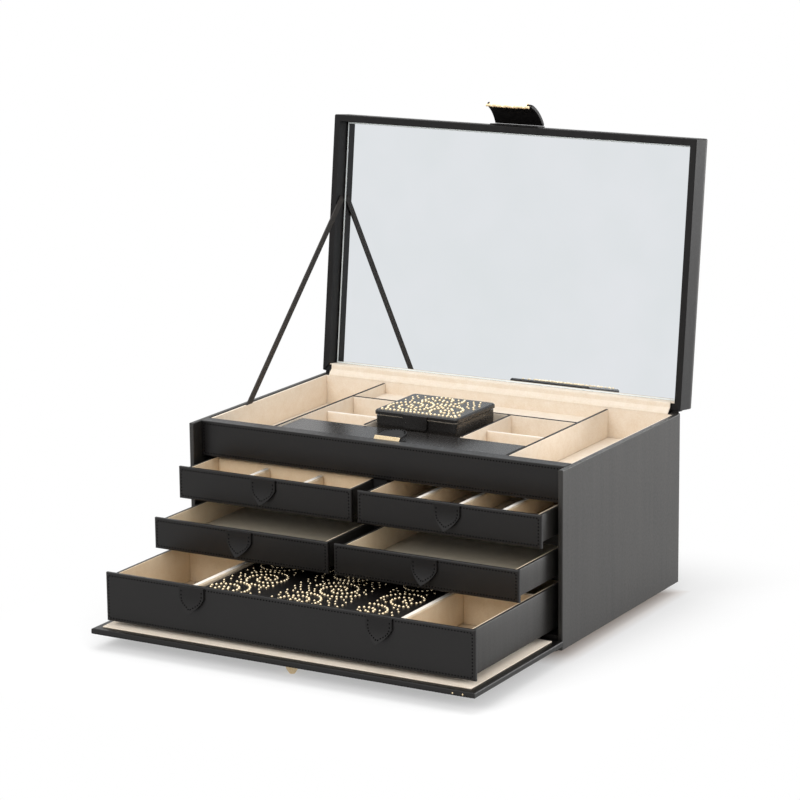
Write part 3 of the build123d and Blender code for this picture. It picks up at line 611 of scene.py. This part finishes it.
def sew_pull(bm, outline, face, top, height):
    """Stitches along a line on the tab's front, which curls away from the drawer below its seat."""
    fall = height - PULL_SEAT
    curl = (fall ** 2 + PULL_LIFT ** 2) / (2 * PULL_LIFT)
    for start, end in zip(outline, outline[1:]):
        count = max(1, round(math.dist(start, end) / STITCH_PITCH))
        for n in range(count):
            x, z = (a + (b - a) * (n + 0.5) / count for a, b in zip(start, end))
            below = max(0, top - PULL_SEAT - z)
            out = math.sqrt((curl - PULL_THICK) ** 2 - below ** 2)
            normal = Vector((0, -out, below)).normalized()
            along = Vector((end[0] - start[0], 0, end[1] - start[1]))
            along = (along - along.dot(normal) * normal).normalized() * STITCH_PITCH / 2
            middle = Vector((x, face - curl + out, z))
            sew(bm, middle - along, middle + along, normal)


for name in ("upper_left", "upper_right", "middle_left", "middle_right", "bottom"):
    body = f"{name}_drawer"
    dress(black_leather, f"{name}_front")
    dress(waxed_leather, f"{name}_pull")
    low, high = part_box(f"{name}_box")
    bm = bmesh.new()
    walls_round(bm, low, high, low.z, BOX_WALL, BOX_SOFT)
    board(bm, (low.x + BOX_WALL, low.y, low.z), (high.x - BOX_WALL, high.y - BOX_WALL, low.z + BOX_FLOOR), BOX_SOFT)
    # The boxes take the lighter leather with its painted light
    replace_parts(piece(f"{name}_leather_box", bm, lit_panel_leather, "black_leather", body), f"{name}_box")

    low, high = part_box(f"{name}_lining")
    floor = low.z + SUEDE
    walls = bmesh.new()
    # Pale strips on the dividers' tops: a painted highlight
    edges = bmesh.new()
    walls_round(walls, low, high, floor, SUEDE, SUEDE_SOFT, front=True)
    x = (low.x + SUEDE, high.x - SUEDE)
    y = (low.y + SUEDE, high.y - SUEDE)
    top = high.z - DIVIDER_DROP
    if name == "upper_left":
        back_row = y[0] + FRONT_CELL
        for edge in even(*x, 3, DRAWER_DIVIDER):
            divide(walls, edges, edge, DRAWER_DIVIDER, (y[0], back_row), floor, top)
        board(walls, (x[0], back_row, floor), (x[1], back_row + DRAWER_DIVIDER, high.z - WALL_DROP), DIVIDER_ROUND)
    if name == "upper_right":
        for edge in even(*x, 4, DRAWER_DIVIDER):
            divide(walls, edges, edge, DRAWER_DIVIDER, y, floor, top)
    if name == "bottom":
        for edge in (-WIDE_PLACE - WIDE_DIVIDER / 2, WIDE_PLACE - WIDE_DIVIDER / 2):
            divide(walls, edges, edge, WIDE_DIVIDER, y, floor, top)
        bay_end = y[0] + BAY_DEPTH
        for bay in ((x[0], -WIDE_PLACE - WIDE_DIVIDER / 2), (WIDE_PLACE + WIDE_DIVIDER / 2, x[1])):
            board(walls, (bay[0], bay_end, floor), (bay[1], bay_end + DIVIDER, high.z - WALL_DROP), DIVIDER_SOFT)
    bm = bmesh.new()
    board(bm, low, (high.x, high.y, floor), CARD_SOFT / 2)
    floor_finish = (taupe_suede, "taupe_suede") if name.startswith("middle") else (shaded_drawer_suede, "cream_suede")
    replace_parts(piece(f"{name}_floor_suede", bm, *floor_finish, body), f"{name}_lining")
    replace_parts(piece(f"{name}_wall_suede", walls, shaded_drawer_suede, "cream_suede", body), f"{name}_lining")
    if edges.verts:
        piece(f"{name}_divider_highlights", edges, highlight_suede, "cream_suede", body)
    else:
        edges.free()

    bm = bmesh.new()
    low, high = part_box(f"{name}_front")
    sew_round(bm, front_corners(low, high), (0, -1, 0))
    face = low.y
    low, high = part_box(f"{name}_pull")
    height = high.z - low.z
    middles = [low.x + PULL_WIDTH / 2, high.x - PULL_WIDTH / 2] if name == "bottom" else [(low.x + high.x) / 2]
    for x in middles:
        sew_pull(bm, shield(x, PULL_WIDTH / 2, high.z, height, PULL_INSET), face, high.z, height)
    piece(f"{name}_stitching", bm, black_thread_painted_shade, "black_leather", body)


# The travel case, which lies loose in the wide drawer: black leather, its top set with the same
# studs in three fields between plain bands.
dress(black_leather, "studded_travel_case")
low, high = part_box("studded_travel_case")
BAND = 10 * MM
LEFT_MARGIN = 3 * MM
FIELDS = (57 * MM, 78 * MM, 45 * MM)
bm = bmesh.new()
x = low.x + LEFT_MARGIN
for n, width in enumerate(FIELDS):
    field = (x, low.y + STUD_MARGIN), (x + width, high.y - STUD_MARGIN)
    middle = x + width / 2
    curls = [(middle + (8 if k % 2 else -8) * MM, low.y + (24 + 46 * k) * MM, (3.2 + 0.3 * n) * MM, 0.9 * k + n)
             for k in range(4)]
    studs(bm, scrolls(*field, curls, 11 + n), high.z)
    x += width + BAND
piece("travel_case_studs", bm, stud_gold, "gold_plate", "bottom_drawer")


# The drop front: a leather-covered board with suede inside, on a leather strip along the base,
# and a cast lotus knob that it rests on when it is down.
dress(black_leather, "drop_front_panel")
low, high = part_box("drop_front_lining")
bm = bmesh.new()
board(bm, low, high, CARD_SOFT)
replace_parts(piece("drop_front_suede", bm, cream_suede, "cream_suede", "drop_front"), "drop_front_lining")
dress(gold_plate, "lotus_knob")

low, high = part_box("drop_front_panel")
bm = bmesh.new()
x = (low.x + STITCH_INSET, high.x - STITCH_INSET)
y = (low.y + STITCH_INSET, high.y - STITCH_INSET)
corners = [(x[0], y[0], low.z), (x[0], y[1], low.z), (x[1], y[1], low.z), (x[1], y[0], low.z)]
sew_round(bm, corners, (0, 0, -1))
LIP_RISE = 0.7 * MM
sew(bm, (x[0], low.y, low.z + LIP_RISE), (x[1], low.y, low.z + LIP_RISE), (0, -1, -1))
piece("drop_front_stitching", bm, black_thread_painted_shade, "black_leather", "drop_front")

# Two small gold nails in the front edge, near its right end
NAIL = 1.6 * MM
NAIL_RISE = 2.2 * MM
head = Matrix.Diagonal((NAIL, NAIL / 2, NAIL, 1))
bm = bmesh.new()
repeat(bm, stud, [Matrix.Translation((high.x - inset, low.y, low.z + NAIL_RISE)) @ head
                  for inset in (12 * MM, 22 * MM)])
piece("drop_front_nails", bm, gold_plate, "gold_plate", "drop_front")


# The lid: four mitred boards and a top under black leather, with a bevelled mirror set deep in
# it. It turns on a long brass hinge along the back.
lid_leather = calf_leather("fine_calf_leather", "#0c0a0a", "#1b1a1a", LEATHER_GRAIN / 2, 0.47, 0.2, streaks=1.5)
dress(lit_panel_leather, "lid_top_panel")
dress(lid_leather, "lid_frame")
dress(gold_plate, "lid_hinge_case_leaf", "lid_hinge_lid_leaf", "lid_hinge_pin")
OPEN = math.radians(96.9)
hinge = next(joint for joint in frame["joints"] if joint["name"] == "lid_hinge")
pivot = Vector(hinge["pos_m"])
opened = Matrix.Translation(pivot) @ Matrix.Rotation(-OPEN, 4, "X") @ Matrix.Translation(-pivot)

# Silvered float glass: a clear reflection with the least blue-green tint
silvered_glass, tree, shader = finish_of("silvered_float_glass")
tone = tone_of(tree, noise(tree, 60 * MM, 2.0), "#dbe0e2", "#e4e6ea")
wire(tree, shader, {"Base Color": tone, "Metallic": 1.0, "Roughness": 0.0})


def flat_box(node):
    """A node's corners on the closed lid."""
    points = [opened.inverted() @ v.co for v in frame["nodes"][node].data.vertices]
    return [Vector([pick(p[n] for p in points) for n in range(3)]) for pick in (min, max)]


low, high = flat_box("lid_mirror")
bm = bmesh.new()
size = Matrix.Diagonal((*(high - low), 1))
bmesh.ops.create_cube(bm, size=1, matrix=Matrix.Translation((low + high) / 2) @ size)
rim = [edge for edge in bm.edges if all(vert.co.z < (low.z + high.z) / 2 for vert in edge.verts)]
GLASS_BEVEL = 0.5 * MM
GLASS_BORDER = 1.9 * MM
bmesh.ops.bevel(bm, geom=rim, offset=GLASS_BEVEL, offset_type="OFFSET", segments=1, profile=0.5,
                affect="EDGES", material=-1)
bm.normal_update()
front = [face for face in bm.faces if face.normal.z < -0.99]
# The flat border band carries the painted highlight of the bevel
border = bmesh.ops.inset_individual(bm, faces=front, thickness=GLASS_BORDER, depth=0)
for face in border["faces"]:
    face.material_index = 1
for face in front:
    face.material_index = 0
bm.transform(opened)
mirror = piece("bevelled_mirror", bm, silvered_glass, "mirror_glass", "lid", smooth=False)
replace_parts(mirror, "lid_mirror")

# The border of the glass: a flat band drawn nearly white, a painted highlight that stands for the light its bevelled
# edge reflects
bevel_highlight_band, tree, shader = finish_of("glass_edge_painted_highlight")
tone = tone_of(tree, noise(tree, 2 * MM, 2.0), "#ecf6f5", "#fafdfd")
wire(tree, shader, {"Base Color": tone, "Roughness": 0.4})
mirror.data.materials.append(bevel_highlight_band)

low, high = flat_box("lid_back_lining")
bm = bmesh.new()
board(bm, low, high, SUEDE_SOFT)
bm.transform(opened)
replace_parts(piece("lid_back_suede", bm, cream_suede, "cream_suede", "lid"), "lid_back_lining")


# The gusset: one strip of suede glued to the tray's back wall and to the lid, with a soft fold
# over the hinge.
WELD = 0.01 * MM
bm = bmesh.new()
bm.from_mesh(frame["nodes"]["hinge_gusset"].data)
bmesh.ops.remove_doubles(bm, verts=bm.verts, dist=WELD)
gusset = piece("suede_gusset", bm, cream_suede, "cream_suede")
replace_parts(gusset, "hinge_gusset")
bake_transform(gusset)


# The spine: at each end of the hinge a strip of the covering leather runs on from the case's back
# to the lid, and closes the corner.
SPINE_THICK = 1.0 * MM
SPINE_REACH = 9 * MM
SPINE_TURN = 0.8 * MM
spine_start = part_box("hinge_gusset")[1].x - 2 * MM
spine_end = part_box("side_panel_right")[1].x - 2 * MM
fall = Vector((0, 0, -1))
rise = Vector((0, math.sin(OPEN), math.cos(OPEN)))
line = [pivot + fall * reach for reach in (SPINE_REACH, 3 * MM, SPINE_TURN)]
line += [pivot + rise * reach for reach in (SPINE_TURN, SPINE_REACH)]
bm = bmesh.new()
for x in ((-spine_end, -spine_start), (spine_start, spine_end)):
    edge = [bm.verts.new((x[0], point.y, point.z)) for point in line]
    strips = [bm.edges.new(pair) for pair in zip(edge, edge[1:])]
    grown = bmesh.ops.extrude_edge_only(bm, edges=strips)
    moved = [item for item in grown["geom"] if isinstance(item, bmesh.types.BMVert)]
    bmesh.ops.translate(bm, verts=moved, vec=(x[1] - x[0], 0, 0))
bmesh.ops.recalc_face_normals(bm, faces=bm.faces)
bmesh.ops.solidify(bm, geom=bm.faces[:], thickness=SPINE_THICK)
spine = piece("leather_spine_ends", bm, black_leather, "black_leather")
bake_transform(spine)


# The stay strap: a flat woven ribbon on the left, let in under the tray's lining and sewn to
# the inside of the lid.
def cut(bm, place, normal):
    """Cuts every face where it crosses a plane, so that the mesh can bend or dent there."""
    bmesh.ops.bisect_plane(bm, geom=bm.verts[:] + bm.edges[:] + bm.faces[:], plane_co=place, plane_no=normal)


ribbon_brown, tree, shader = finish_of("grosgrain_ribbon")
place = add(tree, "TexCoord").outputs["Object"]
rib = add(tree, "TexWave", {"Vector": place, "Scale": 1 / (3 * MM), "Distortion": 0.4},
          bands_direction="Z").outputs["Fac"]
tone = tone_of(tree, rib, "#1d1a18", "#3c3733")
bump = add(tree, "Bump", {"Height": rib, "Strength": 0.4, "Distance": 0.15 * MM}).outputs["Normal"]
wire(tree, shader, {"Base Color": tone, "Roughness": 0.75, "Normal": bump})
bm = bmesh.new()
bm.from_mesh(frame["nodes"]["stay_strap"].data)
bmesh.ops.remove_doubles(bm, verts=bm.verts, dist=WELD)
low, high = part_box("stay_strap")
STRAP_CUTS = 24
for n in range(1, STRAP_CUTS):
    cut(bm, (0, 0, low.z + (high.z - low.z) * n / STRAP_CUTS), (0, 0, 1))
strap = piece("stay_ribbon", bm, ribbon_brown, "black_leather")
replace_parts(strap, "stay_strap")
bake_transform(strap)


# The clasp: a stiff curved tab of leather sewn to a strip on the lid's front, with a gold
# plate over its end, whose rolled lip has been knocked a little out of true.
dress(waxed_leather, "clasp_root", "clasp_tab")
dress(gold_plate, "clasp_plate")
LIP = 1.3 * MM
LIP_HALF = 23.5 * MM
LIP_DENT = 0.35 * MM
LIP_CUTS = 40
plate_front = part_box("clasp_plate")[0].y + 1.2 * MM
end = [vert.co for vert in frame["nodes"]["clasp_plate"].data.vertices if vert.co.y < plate_front]
tip = sum(end, Vector()) / len(end)
bm = bmesh.new()
bmesh.ops.create_cone(bm, cap_ends=True, segments=12, radius1=LIP, radius2=LIP, depth=2 * LIP_HALF,
                      matrix=Matrix.Translation((0, tip.y, tip.z)) @ Matrix.Rotation(math.pi / 2, 4, "Y"))
for n in range(1, LIP_CUTS):
    cut(bm, (-LIP_HALF + 2 * LIP_HALF * n / LIP_CUTS, 0, 0), (1, 0, 0))
chance = random.Random(5)
dents = [chance.uniform(-1, 1) for _ in range(LIP_CUTS + 1)]
for vert in bm.verts:
    dent = dents[round((vert.co.x + LIP_HALF) / (2 * LIP_HALF) * LIP_CUTS)]
    vert.co.z += dent * LIP_DENT
    vert.co.y += abs(dent) * LIP_DENT
piece("clasp_lip", bm, gold_plate, "gold_plate", "clasp")
